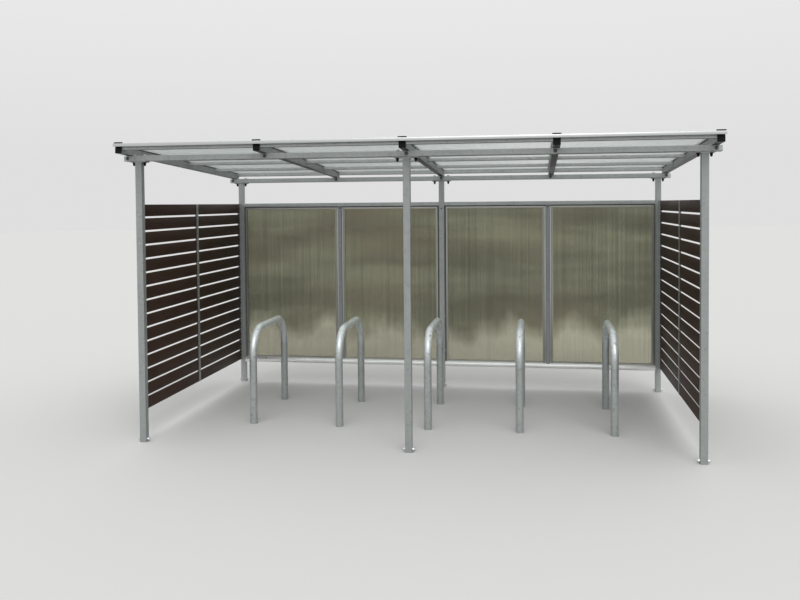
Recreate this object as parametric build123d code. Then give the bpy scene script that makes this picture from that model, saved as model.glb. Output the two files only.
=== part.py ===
"""Open-fronted bike shelter: steel frame, clear roof and back, boarded sides, five stands.

Millimetres, +Z up. The open front faces -Y. The origin is on the ground, at the middle
of the roof's plan outline.
"""

import math
import os

from build123d import *

# Layout of the posts: two bays side by side, one row in front and one behind
bay_width = 2000.0
bay_count = 2
row_gap = 2200.0
post_side = 50.0
post_wall = 3.0
tube_corner = 4.0

# Levels of the roof frame at the two rows of posts
front_beam_level = 2090.0
back_beam_level = 1980.0

# Plates welded on the post tops, longer at the middle posts where the beam is bolted twice as wide
head_plate_thickness = 8.0
head_plate_depth = 60.0
end_plate_length = 130.0
middle_plate_length = 180.0

# Beams that lie flat along both rows
beam_depth = 60.0
beam_height = 40.0
beam_wall = 3.0
beam_overhang = 108.0

# Rafters across the beams: they reach out in front, and end flush with the back of the back beam
rafter_outset = 65.0
rafter_count = 5
rafter_side = 50.0
rafter_wall = 2.0
eaves_overhang = 196.0
cap_thickness = 4.0
cap_plug_length = 12.0
cap_plug_clearance = 0.3

# Purlins between the rafters, flush with their tops
purlin_rows = 5
purlin_depth = 40.0
purlin_height = 25.0
purlin_wall = 2.0
purlin_set_back = 5.0

# Roof sheets, the rubber they lie on and the bars that hold them down
seal_height = 6.0
sheet_thickness = 10.0
sheet_nose = 25.0
bar_width = 60.0
bar_web = 6.0
bar_flange = 5.0
bar_rib_width = 30.0
bar_rib_height = 8.0
edge_leg = 3.0
bar_cap_length = 12.0
sheet_side_gap = 2.0

# Folded trims over the front and rear edges of the sheets
trim_wall = 2.0
trim_lap = 25.0
trim_drop = 10.0

# Back wall: a steel rail above and a sill below, with framed sheets between
sill_level = 200.0
sill_height = 45.0
sill_depth = 45.0
sill_slope = 17.0
sill_ledge = 2.0
sill_wall = 2.5
top_rail_side = 35.0
top_rail_wall = 2.0
wall_top = 1775.0
stile_leg = 26.0
stile_wall = 3.0
post_gap = 16.0
head_gap = 10.0
gasket_recess = 3.0
pane_frame_face = 17.0
pane_frame_wall = 2.0
pane_groove = 12.0
pane_gap = 66.0
mullion_width = 32.0
mullion_proud = 8.0
mullion_wall = 2.0
mullion_back_width = 86.0
mullion_back_wall = 3.0
mullion_foot_width = 25.0
mullion_taper = 29.0

# Side walls: level boards on upright steel bars
board_count = 15
board_height = 90.0
board_gap = 14.0
board_thickness = 8.0
board_level = 225.0
board_end_gap = 3.0
cleat_wall = 3.0
cleat_board_leg = 40.0
cleat_post_leg = 30.0
bar_strip_width = 40.0

# Bike stands: bent tubes in a row under the roof
stand_count = 5
stand_spacing = 708.0
stand_row_offset = 58.0
stand_front_leg = 620.0
stand_leg_gap = 850.0
stand_height = 785.0
stand_tube = 60.3
stand_wall = 3.2
stand_bend = 200.0
stand_sides = 12
stand_bore_sides = 6

# Values worked out from the sizes above
roof_pitch = math.degrees(math.atan((front_beam_level - back_beam_level) / row_gap))
row_gap_on_slope = row_gap / math.cos(math.radians(roof_pitch))
half_width = bay_width * bay_count / 2
post_lines = [bay_width * i - half_width for i in range(bay_count + 1)]
rafter_spacing = 2 * (half_width + rafter_outset) / (rafter_count - 1)
rafter_lines = [rafter_spacing * (i - (rafter_count - 1) / 2) for i in range(rafter_count)]
rafter_front = -eaves_overhang
rafter_rear = row_gap_on_slope + beam_depth / 2
rafter_top = beam_height + rafter_side
sheet_base = rafter_top + seal_height
sheet_top = sheet_base + sheet_thickness
sheet_front = rafter_front - sheet_nose
sheet_rear = rafter_rear + sheet_nose
trim_front = sheet_front - trim_wall
trim_rear = sheet_rear + trim_wall
roof_half_width = rafter_lines[-1] + bar_width / 2 + trim_wall
wall_plane = row_gap
sill_top = sill_level + sill_height
wall_head = wall_top - top_rail_side
pane_head = wall_head - head_gap
pane_front = wall_plane - sheet_thickness / 2 - pane_frame_wall
pane_back = wall_plane + sheet_thickness / 2 + pane_frame_wall
board_pitch = board_height + board_gap
boards_top = board_level + board_count * board_pitch - board_gap


def on_roof(shape: Part) -> Part:
    """Lay a shape, drawn with Z square to the roof, on the falling plane under the beams."""
    return Location((0, 0, front_beam_level), (-roof_pitch, 0, 0)) * shape


def block(x_low: float, x_high: float, y_low: float, y_high: float, z_low: float, z_high: float) -> Solid:
    """A square-edged solid between two corners."""
    size = (x_high - x_low, y_high - y_low, z_high - z_low)
    middle = ((x_low + x_high) / 2, (y_low + y_high) / 2, (z_low + z_high) / 2)
    return Pos(*middle) * Box(*size)


def hollow_section(width: float, height: float, wall: float, corner: float = 0.0) -> Sketch:
    """The ring of a rectangular tube, with rounded outer corners where a corner radius is given."""
    outer = RectangleRounded(width, height, corner) if corner else Rectangle(width, height)
    return outer - Rectangle(width - 2 * wall, height - 2 * wall)


def tube_along_x(depth: float, height: float, wall: float, x_low: float, x_high: float,
                 corner: float = 0.0) -> Part:
    """A rectangular tube along X, centred on the X axis."""
    ring = Plane.YZ * hollow_section(depth, height, wall, corner)
    return Pos(x_low, 0, 0) * extrude(ring, x_high - x_low, dir=(1, 0, 0))


def tube_along_y(side: float, wall: float, y_low: float, y_high: float) -> Part:
    """A square tube along Y, centred on the Y axis."""
    ring = Plane.XZ * hollow_section(side, side, wall, tube_corner)
    return Pos(0, y_low, 0) * extrude(ring, y_high - y_low, dir=(0, 1, 0))


def post(x: float, y: float) -> Part:
    """A square post, cut at the top to the slope of the roof."""
    level = front_beam_level - math.tan(math.radians(roof_pitch)) * y
    ring = hollow_section(post_side, post_side, post_wall, tube_corner)
    long_post = Pos(x, y, 0) * extrude(ring, level + post_side)
    cut = on_roof(block(x - post_side, x + post_side, y - post_side, y + 2 * post_side,
                        -head_plate_thickness, 4 * post_side))
    return long_post - cut


def head_plates() -> list:
    """The plates between the posts and the beams."""
    plates = []
    for x in post_lines:
        length = end_plate_length if abs(x) > half_width - 1 else middle_plate_length
        for y in (0, row_gap_on_slope):
            plates.append(on_roof(block(x - length / 2, x + length / 2,
                                        y - head_plate_depth / 2, y + head_plate_depth / 2,
                                        -head_plate_thickness, 0)))
    return plates


def beam(y: float) -> Part:
    """A beam along one row of posts, on its head plates."""
    reach = half_width + beam_overhang
    tube = tube_along_x(beam_depth, beam_height, beam_wall, -reach, reach, tube_corner)
    return on_roof(Pos(0, y, beam_height / 2) * tube)


def rafter(x: float) -> Part:
    """A rafter from the front eaves to the back of the back beam, on top of both beams."""
    tube = tube_along_y(rafter_side, rafter_wall, rafter_front, rafter_rear)
    return on_roof(Pos(x, 0, beam_height + rafter_side / 2) * tube)


def rafter_cap(x: float, y: float, outward: float) -> Part:
    """A push-in cap that closes one end of a rafter."""
    flange = chamfer(Rectangle(rafter_side, rafter_side).vertices(), tube_corner / 2)
    plug_side = rafter_side - 2 * rafter_wall - 2 * cap_plug_clearance
    plug = hollow_section(plug_side, plug_side, cap_thickness)
    cap = extrude(Plane.XZ * flange, cap_thickness, dir=(0, outward, 0))
    cap += extrude(Plane.XZ * plug, cap_plug_length, dir=(0, -outward, 0))
    return on_roof(Pos(x, y, beam_height + rafter_side / 2) * cap)


def rafter_caps() -> list:
    """The caps at both ends of every rafter."""
    caps = []
    for x in rafter_lines:
        caps.append(rafter_cap(x, rafter_front, -1))
        caps.append(rafter_cap(x, rafter_rear, 1))
    return caps


def purlin_row(y: float) -> list:
    """One row of short purlins, each between two rafters."""
    height = rafter_top - purlin_height / 2
    tubes = []
    for left, right in zip(rafter_lines, rafter_lines[1:]):
        tube = tube_along_x(purlin_depth, purlin_height, purlin_wall,
                            left + rafter_side / 2, right - rafter_side / 2)
        tubes.append(on_roof(Pos(0, y, height) * tube))
    return tubes


def purlin_lines() -> list:
    """The middle line of each row of purlins, on the slope."""
    first = rafter_front + purlin_set_back + purlin_depth / 2
    last = rafter_rear - purlin_set_back - purlin_depth / 2
    step = (last - first) / (purlin_rows - 1)
    return [first + step * i for i in range(purlin_rows)]


def rafter_seals() -> list:
    """The rubber strip that each rafter carries under the sheets."""
    return [on_roof(block(x - rafter_side / 2, x + rafter_side / 2, rafter_front, rafter_rear,
                          rafter_top, sheet_base)) for x in rafter_lines]


def roof_sheet(left: float, right: float) -> Part:
    """One roof sheet between the webs of two bars."""
    side = bar_web / 2 + sheet_side_gap
    return on_roof(block(left + side, right - side, sheet_front, sheet_rear, sheet_base, sheet_top))


def bar_profile(x: float) -> Sketch:
    """The section of a glazing bar: a T between sheets, or closed on its outer side at a roof edge."""
    flange = Pos(0, sheet_top + bar_flange / 2) * Rectangle(bar_width, bar_flange)
    rib = Pos(0, sheet_top + bar_flange) * Trapezoid(
        bar_rib_width, bar_rib_height, 60, align=(Align.CENTER, Align.MIN))
    web = Pos(0, (sheet_base + sheet_top) / 2) * Rectangle(bar_web, sheet_thickness)
    section = flange + rib + web
    if abs(x) > rafter_lines[-1] - 1:
        side = math.copysign(bar_width / 2 - edge_leg / 2, x)
        drop = bar_flange + sheet_thickness + seal_height
        section += Pos(side, sheet_top + bar_flange - drop / 2) * Rectangle(edge_leg, drop)
    return section


def cover_bars() -> list:
    """The bars over the rafters, from one edge trim to the other."""
    bars = []
    for x in rafter_lines:
        section = Plane.XZ * bar_profile(x)
        length = rafter_rear - rafter_front
        bars.append(on_roof(Pos(x, rafter_front, 0) * extrude(section, length, dir=(0, 1, 0))))
    return bars


def bar_caps() -> list:
    """The black ends of the bars, which stand on the edge trims."""
    caps = []
    base = sheet_top + trim_wall
    top = sheet_top + bar_flange + bar_rib_height
    for x in rafter_lines:
        for low, high in ((rafter_front - bar_cap_length, rafter_front),
                          (rafter_rear, rafter_rear + bar_cap_length)):
            cap = block(x - bar_width / 2, x + bar_width / 2, low, high, base, top)
            caps.append(on_roof(cap))
    return caps


def edge_trim(edge: float, outward: float) -> Part:
    """A folded strip over a sheet edge: a leg on top and a leg that hangs in front."""
    reach = roof_half_width
    outer = edge + outward * trim_wall
    inner = edge - outward * trim_lap
    lap = block(-reach, reach, min(outer, inner), max(outer, inner), sheet_top, sheet_top + trim_wall)
    drip = block(-reach, reach, min(outer, edge), max(outer, edge),
                 sheet_base - trim_drop, sheet_top + trim_wall)
    return on_roof(lap + drip)


def bay_spans() -> list:
    """The clear span between the posts of each bay."""
    return [(left + post_side / 2, right - post_side / 2)
            for left, right in zip(post_lines, post_lines[1:])]


def sill_section() -> Sketch:
    """The hollow section of the sill rail, sloped at its front top edge to shed water."""
    depth, height, wall = sill_depth, sill_height, sill_wall

    def outline(inset: float) -> Sketch:
        """The section's outline, moved inwards by a wall."""
        back = depth - inset
        low = inset
        top = height - inset
        nose = inset * (math.sqrt(2) - 1)
        points = [(inset, low), (back, low), (back, top), (sill_slope + nose, top),
                  (inset, height - sill_slope - nose)]
        return make_face(Polyline(*points, close=True))

    return outline(0) - outline(wall)


def sill_front() -> float:
    """How far back the front face of the sill stands."""
    return pane_front - sill_ledge - sill_slope


def back_sills() -> list:
    """One sill rail in each bay, between the posts."""
    rails = []
    for left, right in bay_spans():
        ring = Plane.YZ * sill_section()
        rails.append(Pos(left, sill_front(), sill_level) * extrude(ring, right - left, dir=(1, 0, 0)))
    return rails


def back_top_rails() -> list:
    """One square rail above the sheets in each bay."""
    return [Pos(0, wall_plane, wall_top - top_rail_side / 2)
            * tube_along_x(top_rail_side, top_rail_side, top_rail_wall, left, right)
            for left, right in bay_spans()]


def back_stiles() -> list:
    """The angles on the posts that the framed sheets stand against."""
    angles = []
    for left, right in bay_spans():
        for face, inward in ((left, 1), (right, -1)):
            on_post = sorted((face, face + inward * stile_wall))
            behind = sorted((face, face + inward * stile_leg))
            angle = block(on_post[0], on_post[1], pane_front, pane_back, sill_top, wall_head)
            angle += block(behind[0], behind[1], pane_back, pane_back + stile_wall, sill_top, wall_head)
            angles.append(angle)
    return angles


def gasket(left: float, right: float) -> Part:
    """The rubber at the sides and top of the two framed sheets between two uprights."""
    front = pane_front + gasket_recess
    outer = block(left, right, front, pane_back, sill_top, wall_head)
    inner_left = left + post_gap - stile_wall
    inner_right = right - (pane_gap - mullion_width) / 2
    return outer - block(inner_left, inner_right, front, pane_back, sill_top, pane_head)


def back_gaskets() -> list:
    """The rubber round the framed sheets, in two lengths to a bay."""
    gaskets = []
    for left, right in bay_spans():
        middle = (left + right) / 2
        near_middle = mullion_width / 2
        strip = gasket(left + stile_wall, middle - near_middle)
        gaskets.append(strip)
        gaskets.append(Pos(middle, 0, 0) * mirror(Pos(-middle, 0, 0) * strip, about=Plane.YZ))
    return gaskets


def pane_spans() -> list:
    """The outside width of each framed sheet, two to a bay."""
    spans = []
    for left, right in bay_spans():
        middle = (left + right) / 2
        spans.append((left + post_gap, middle - pane_gap / 2))
        spans.append((middle + pane_gap / 2, right - post_gap))
    return spans


def pane_frame(left: float, right: float) -> Part:
    """The slim channel frame round one sheet of the back wall."""
    face = pane_frame_face
    edge = face - pane_groove
    half = sheet_thickness / 2
    frame = block(left, right, pane_front, pane_back, sill_top, pane_head)
    frame -= block(left + face, right - face, pane_front, pane_back, sill_top + face, pane_head - face)
    return frame - block(left + edge, right - edge, wall_plane - half, wall_plane + half,
                         sill_top + edge, pane_head - edge)


def back_sheet(left: float, right: float) -> Part:
    """One clear sheet, held in the groove of its frame."""
    edge = pane_frame_face - pane_groove
    half = sheet_thickness / 2
    return block(left + edge, right - edge, wall_plane - half, wall_plane + half,
                 sill_top + edge, pane_head - edge)


def mullion(middle: float) -> Part:
    """The hollow upright between two framed sheets, with a tapered foot on the sill and a strip behind."""
    front = pane_front - mullion_proud
    foot = sill_top - sill_slope
    half = mullion_width / 2
    half_foot = mullion_foot_width / 2
    outline = Polyline((-half_foot, foot), (-half, foot + mullion_taper), (-half, wall_head),
                       (half, wall_head), (half, foot + mullion_taper), (half_foot, foot), close=True)
    rib = extrude(Plane.XZ * make_face(outline), pane_back - front, dir=(0, 1, 0))
    rib -= block(mullion_wall - half, half - mullion_wall, mullion_wall, pane_back - front - mullion_wall,
                 foot, wall_head)
    rib = Pos(middle, front, 0) * rib
    half_back = mullion_back_width / 2
    rib += block(middle - half_back, middle + half_back, pane_back, pane_back + mullion_back_wall,
                 foot, wall_head)
    return rib - under_sill_top(middle)


def under_sill_top(middle: float) -> Part:
    """The space under the sill's sloped and flat top faces, where a mullion can't reach."""
    front = sill_front()
    reach = mullion_back_width
    wedge = Polyline((front, sill_top - sill_slope), (front + sill_slope, sill_top),
                     (front + 2 * sill_depth, sill_top), (front + 2 * sill_depth, sill_level),
                     (front, sill_level), close=True)
    solid = extrude(Plane.YZ * make_face(wedge), 2 * reach, dir=(1, 0, 0))
    return Pos(middle - reach, 0, 0) * solid


def mullions() -> list:
    """The upright in the middle of each bay."""
    return [mullion((left + right) / 2) for left, right in bay_spans()]


def side_faces() -> tuple:
    """The inner and outer faces of the boards of both sides, as distances from the middle."""
    outer = half_width + post_side / 2 - cleat_wall
    return outer - board_thickness, outer


def side_block(side: float, near: float, far: float, y_low: float, y_high: float,
               z_low: float, z_high: float) -> Solid:
    """A square-edged solid on one side of the shelter, given by distances from the middle."""
    x_low, x_high = sorted((side * near, side * far))
    return block(x_low, x_high, y_low, y_high, z_low, z_high)


def side_boards(side: float) -> list:
    """The level boards of one side wall."""
    inner, outer = side_faces()
    front = post_side / 2 + cleat_wall + board_end_gap
    back = row_gap - front
    boards = []
    for row in range(board_count):
        base = board_level + row * board_pitch
        boards.append(side_block(side, inner, outer, front, back, base, base + board_height))
    return boards


def side_bars(side: float) -> list:
    """The upright steel that carries the boards of one side wall."""
    inner, outer = side_faces()
    front_face = post_side / 2
    back_face = row_gap - post_side / 2
    middle = row_gap / 2
    half = bar_strip_width / 2
    far = outer + cleat_wall
    near = far - cleat_post_leg
    base, top = board_level, boards_top
    bars = []
    for face, inward in ((front_face, 1), (back_face, -1)):
        on_post = sorted((face, face + inward * cleat_wall))
        on_boards = sorted((face, face + inward * cleat_board_leg))
        cleat = side_block(side, near, far, on_post[0], on_post[1], base, top)
        cleat += side_block(side, outer, far, on_boards[0], on_boards[1], base, top)
        bars.append(cleat)
    bars.append(side_block(side, inner - cleat_wall, inner, middle - half, middle + half, base, top))
    bars.append(side_block(side, outer, far, middle - half, middle + half, base, top))
    return bars


def stand(x: float) -> Part:
    """A bike stand: one bent tube with two upright legs, its round drawn with few sides."""
    front = stand_front_leg
    back = stand_front_leg + stand_leg_gap
    top = stand_height - stand_tube / 2
    path = FilletPolyline((x, front, 0), (x, front, top), (x, back, top), (x, back, 0), radius=stand_bend)
    ring = RegularPolygon(stand_tube / 2, stand_sides)
    ring -= RegularPolygon(stand_tube / 2 - stand_wall, stand_bore_sides)
    section = Plane(origin=(x, front, 0), z_dir=(0, 0, 1)) * ring
    return sweep(section, path=path)


def stand_lines() -> list:
    """Where the stands are, from left to right."""
    return [stand_row_offset + stand_spacing * (i - (stand_count - 1) / 2) for i in range(stand_count)]


def plan_middle() -> float:
    """The middle of the roof's outline from front to back, seen from above."""
    angle = math.radians(roof_pitch)
    front = trim_front * math.cos(angle) + (sheet_base - trim_drop) * math.sin(angle)
    rear = trim_rear * math.cos(angle) + (sheet_top + trim_wall) * math.sin(angle)
    return (front + rear) / 2


def all_nodes() -> dict:
    """Every named piece of the shelter, before it is moved to the model's origin."""
    nodes = {}
    names = ("left", "centre", "right")
    for name, x in zip(names, post_lines):
        nodes[f"front_post_{name}"] = [post(x, 0)]
        nodes[f"back_post_{name}"] = [post(x, row_gap)]
    nodes["post_head_plates"] = head_plates()
    nodes["front_beam"] = [beam(0)]
    nodes["back_beam"] = [beam(row_gap_on_slope)]
    for number, x in enumerate(rafter_lines, 1):
        nodes[f"rafter_{number}"] = [rafter(x)]
    nodes["rafter_end_caps"] = rafter_caps()
    for number, y in enumerate(purlin_lines(), 1):
        nodes[f"purlin_row_{number}"] = purlin_row(y)
    nodes["rafter_seals"] = rafter_seals()
    for number, (left, right) in enumerate(zip(rafter_lines, rafter_lines[1:]), 1):
        nodes[f"roof_sheet_{number}"] = [roof_sheet(left, right)]
    nodes["roof_cover_bars"] = cover_bars()
    nodes["roof_bar_caps"] = bar_caps()
    nodes["roof_front_trim"] = [edge_trim(sheet_front, -1)]
    nodes["roof_rear_trim"] = [edge_trim(sheet_rear, 1)]
    nodes["back_wall_sills"] = back_sills()
    nodes["back_wall_top_rails"] = back_top_rails()
    nodes["back_wall_stiles"] = back_stiles()
    nodes["back_wall_gaskets"] = back_gaskets()
    nodes["back_wall_frames"] = [pane_frame(*span) for span in pane_spans()]
    nodes["back_wall_sheets"] = [back_sheet(*span) for span in pane_spans()]
    nodes["back_wall_mullions"] = mullions()
    for name, side in (("left", -1), ("right", 1)):
        nodes[f"side_boards_{name}"] = side_boards(side)
        nodes[f"side_bars_{name}"] = side_bars(side)
    for number, x in enumerate(stand_lines(), 1):
        nodes[f"bike_stand_{number}"] = [stand(x)]
    return nodes


def main() -> None:
    """Build every piece, move it to the model's origin and write it."""
    os.makedirs("parts", exist_ok=True)
    to_origin = Pos(0, -plan_middle(), 0)
    for name, pieces in all_nodes().items():
        solids = [solid for piece in pieces for solid in (to_origin * piece).solids()]
        shape = solids[0] if len(solids) == 1 else Compound(children=solids)
        shape.label = name
        export_step(shape, f"parts/{name}.step")


main()
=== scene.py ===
"""Looks of the bike shelter: finishes for its solids, and the small pieces that sit on them."""
import logging
import math
from collections.abc import Callable, Iterable, Sequence
from dataclasses import dataclass, field
from enum import Enum
from functools import cache
from typing import NamedTuple

import bmesh
import bpy
from mathutils import Matrix, Vector


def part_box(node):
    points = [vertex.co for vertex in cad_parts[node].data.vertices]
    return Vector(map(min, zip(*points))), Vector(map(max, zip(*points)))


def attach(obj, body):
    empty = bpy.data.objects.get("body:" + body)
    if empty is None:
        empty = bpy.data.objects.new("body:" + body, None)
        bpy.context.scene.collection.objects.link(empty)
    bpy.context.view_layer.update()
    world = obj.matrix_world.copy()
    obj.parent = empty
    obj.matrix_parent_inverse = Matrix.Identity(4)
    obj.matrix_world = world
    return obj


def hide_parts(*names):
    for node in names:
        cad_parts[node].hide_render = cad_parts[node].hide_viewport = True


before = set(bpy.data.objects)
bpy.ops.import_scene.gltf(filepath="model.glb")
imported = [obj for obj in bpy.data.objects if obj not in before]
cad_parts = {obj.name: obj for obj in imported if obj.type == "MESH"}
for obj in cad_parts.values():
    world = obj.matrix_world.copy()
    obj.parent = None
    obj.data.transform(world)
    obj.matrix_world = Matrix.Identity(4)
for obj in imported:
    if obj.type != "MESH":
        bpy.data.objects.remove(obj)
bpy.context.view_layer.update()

log = logging.getLogger("bike_shelter")
Colour = tuple[float, float, float]
Point = tuple[float, float, float]
Range = tuple[float, float]
Socket = bpy.types.NodeSocket
BMesh = bmesh.types.BMesh
Edges = list[bmesh.types.BMEdge]

RAFTERS = PURLIN_ROWS = STANDS = range(1, 6)  # the numbers in the names of the CAD nodes
SHEETS = range(1, 5)
NOISE_MIDDLE = (0.3, 0.7)  # where nearly all of a noise's values lie
WAVE_UNIT = 20  # a wave texture's scale is its turns per metre, over this
CREASE = 35.0  # degrees past which an edge stays sharp
FLAT = 1.0  # degrees up to which two faces count as one
LONG_EDGE = 0.5  # metres past which an edge runs the length of a bar
MERGE = 1e-5  # metres within which two points count as one
HAIR = 1e-6  # metres of slack where points are compared


class Slot(Enum):
    """The material slots of the record, by what they are on the shelter."""

    STEEL = "galvanised_steel"
    STANDS = "galvanised_stands"
    BRIGHT = "bright_aluminium"
    FRAMES = "frame_aluminium"
    ROOF = "roof_sheet"
    WALL = "back_sheet"
    BOARDS = "brown_board"
    CAPS = "black_plastic"
    RUBBER = "rubber_seal"


class Side(Enum):
    """The two side walls, by the sign of their X."""

    LEFT = -1
    RIGHT = 1


class Axis(Enum):
    """The way a fastening points, as its turns about X and then about Y."""

    LEFT = (0.0, -math.pi / 2)
    RIGHT = (0.0, math.pi / 2)
    FRONT = (math.pi / 2, 0.0)
    UP = (0.0, 0.0)
    DOWN = (math.pi, 0.0)

    def at(self, spot: Sequence[float]) -> Matrix:
        """Place a pattern that is drawn along +Z.

        Args:
            spot: Where its foot goes.

        Returns:
            What sets it at the spot, pointing this way.
        """
        about_x, about_y = self.value
        turn = Matrix.Rotation(about_y, 4, "Y") @ Matrix.Rotation(about_x, 4, "X")
        return Matrix.Translation(spot) @ turn


class Noise(NamedTuple):
    """A soft noise: features per metre along each axis, octaves of finer noise, and their strength."""

    scale: Point
    detail: float = 3.0
    roughness: float = 0.5


class Drum(NamedTuple):
    """A round or many-sided solid, with radii to its corners, and a rounded rim if it has one."""

    radius: float
    height: float
    sides: int
    top_radius: float | None = None
    rim: float = 0.0


class Graph:
    """A node tree, with short calls for the nodes that the finishes and the studio share."""

    def __init__(self, tree: bpy.types.NodeTree) -> None:
        """Empty a tree to draw on.

        Args:
            tree: The tree.
        """
        self.tree = tree
        tree.nodes.clear()
        self.places = self.add("ShaderNodeTexCoord").outputs

    def add(self, kind: str, **values: object) -> bpy.types.Node:
        """Add a node.

        Args:
            kind: The node's type name.
            values: Properties of the node, or inputs by name with spaces as underscores. A socket is
                linked to the input, and anything else is its value.

        Returns:
            The new node.
        """
        node = self.tree.nodes.new(kind)
        for key, value in values.items():
            if hasattr(node, key):
                setattr(node, key, value)
            elif isinstance(value, Socket):
                self.tree.links.new(value, node.inputs[key.replace("_", " ")])
            else:
                node.inputs[key.replace("_", " ")].default_value = value
        return node

    def scaled(self, scale: Point) -> Socket:
        """Object coordinates in metres, multiplied by a scale for each axis."""
        return self.add("ShaderNodeMapping", Vector=self.places["Object"], Scale=scale).outputs["Vector"]

    def upward(self, vector: Socket) -> Socket:
        """The Z part of a vector."""
        return self.add("ShaderNodeSeparateXYZ", Vector=vector).outputs["Z"]

    def noise(self, pattern: Noise) -> Socket:
        """A soft noise from 0 to 1.

        Args:
            pattern: Its scale, detail and roughness.

        Returns:
            The noise's value.
        """
        node = self.add("ShaderNodeTexNoise", Vector=self.scaled(pattern.scale), Scale=1.0,
                        Detail=pattern.detail, Roughness=pattern.roughness)
        return node.outputs["Fac"]

    def cells(self, per_metre: float) -> Socket:
        """One random value from 0 to 1 for each cell of a crystal pattern."""
        node = self.add("ShaderNodeTexVoronoi", Vector=self.scaled((per_metre,) * 3), Scale=1.0)
        return self.add("ShaderNodeSeparateColor", Color=node.outputs["Color"]).outputs["Red"]

    def waves(self, per_metre: float) -> Socket:
        """Even bands from 0 to 1, one after another along X.

        Args:
            per_metre: Bands per metre.

        Returns:
            The bands' value.
        """
        node = self.add("ShaderNodeTexWave", wave_type="BANDS", bands_direction="X", wave_profile="SIN",
                        Vector=self.places["Object"], Scale=per_metre / WAVE_UNIT * math.tau,
                        Distortion=0.0, Detail=0.0)
        return node.outputs["Fac"]

    def spread(self, value: Socket, low: float, high: float, start: float = 0.0,
               end: float = 1.0) -> Socket:
        """Move a value from one range onto another.

        Args:
            value: The value.
            low: What it becomes at the start of its range.
            high: What it becomes at the end.
            start: The start of its range.
            end: The end.

        Returns:
            The moved value.
        """
        node = self.add("ShaderNodeMapRange", clamp=True, Value=value, From_Min=start, From_Max=end,
                        To_Min=low, To_Max=high)
        return node.outputs["Result"]

    def share(self, pattern: Noise, most: float) -> Socket:
        """A noise whose middle range is stretched from 0 to a most."""
        return self.spread(self.noise(pattern), 0.0, most, *NOISE_MIDDLE)

    def joined(self, operation: str, first: Socket, *others: Socket) -> Socket:
        """Join values one after another by a maths operation.

        Args:
            operation: The operation's name.
            first: The first value.
            others: The values that are joined to it in turn.

        Returns:
            The result.
        """
        for other in others:
            node = self.add("ShaderNodeMath", operation=operation)
            self.tree.links.new(first, node.inputs[0])
            self.tree.links.new(other, node.inputs[1])
            first = node.outputs["Value"]
        return first

    def blend(self, factor: Socket, low: Socket | Colour, high: Colour) -> Socket:
        """Blend two colours.

        Args:
            factor: How much of the high colour shows, from 0 to 1.
            low: The colour at 0, which may change over the surface.
            high: The colour at 1.

        Returns:
            The blended colour.
        """
        under = low if isinstance(low, Socket) else (*low, 1.0)
        node = self.add("ShaderNodeMix", data_type="RGBA", Factor=factor, A=under, B=(*high, 1.0))
        return node.outputs["Result"]

    def bump(self, height: Socket, depth: float, strength: float) -> Socket:
        """A normal from a height, with its depth in metres."""
        return self.add("ShaderNodeBump", Height=height, Distance=depth, Strength=strength).outputs["Normal"]

    def mixed(self, factor: Socket | float, first: Socket, second: Socket) -> Socket:
        """Mix two shaders.

        Args:
            factor: The second one's share, from 0 to 1.
            first: The first shader.
            second: The second shader.

        Returns:
            The mixed shader.
        """
        node = self.add("ShaderNodeMixShader", Fac=factor)
        self.tree.links.new(first, node.inputs[1])
        self.tree.links.new(second, node.inputs[2])
        return node.outputs["Shader"]

    def shader(self, kind: str, **values: object) -> Socket:
        """A surface shader of one kind, with its inputs set or linked."""
        return self.add(f"ShaderNodeBsdf{kind}", **values).outputs["BSDF"]


def draw_nodes(owner: bpy.types.Material | bpy.types.World, draw: Callable[[Graph], Socket]) -> None:
    """Give a new material or world its nodes.

    Args:
        owner: The material or world.
        draw: What draws its nodes on a graph, and gives back its shader.
    """
    owner.use_nodes = True
    graph = Graph(owner.node_tree)
    kind = "World" if isinstance(owner, bpy.types.World) else "Material"
    graph.add(f"ShaderNodeOutput{kind}", Surface=draw(graph))


def shade(colour: Colour, factor: float) -> Colour:
    """A colour made lighter or darker."""
    return tuple(min(1.0, channel * factor) for channel in colour)


@dataclass(frozen=True)
class Finish:
    """What every finish has: its material's name, and the record's slot that it belongs to."""

    name: str
    slot: Slot

    def draw(self, graph: Graph) -> Socket:
        """Draw the finish's nodes and give back its shader, as each kind of finish does."""
        raise NotImplementedError

    @cache
    def material(self) -> bpy.types.Material:
        """Make the finish's material once, and give back the same one from then on.

        Returns:
            The material.
        """
        material = bpy.data.materials.new(self.name)
        draw_nodes(material, self.draw)
        return material


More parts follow.
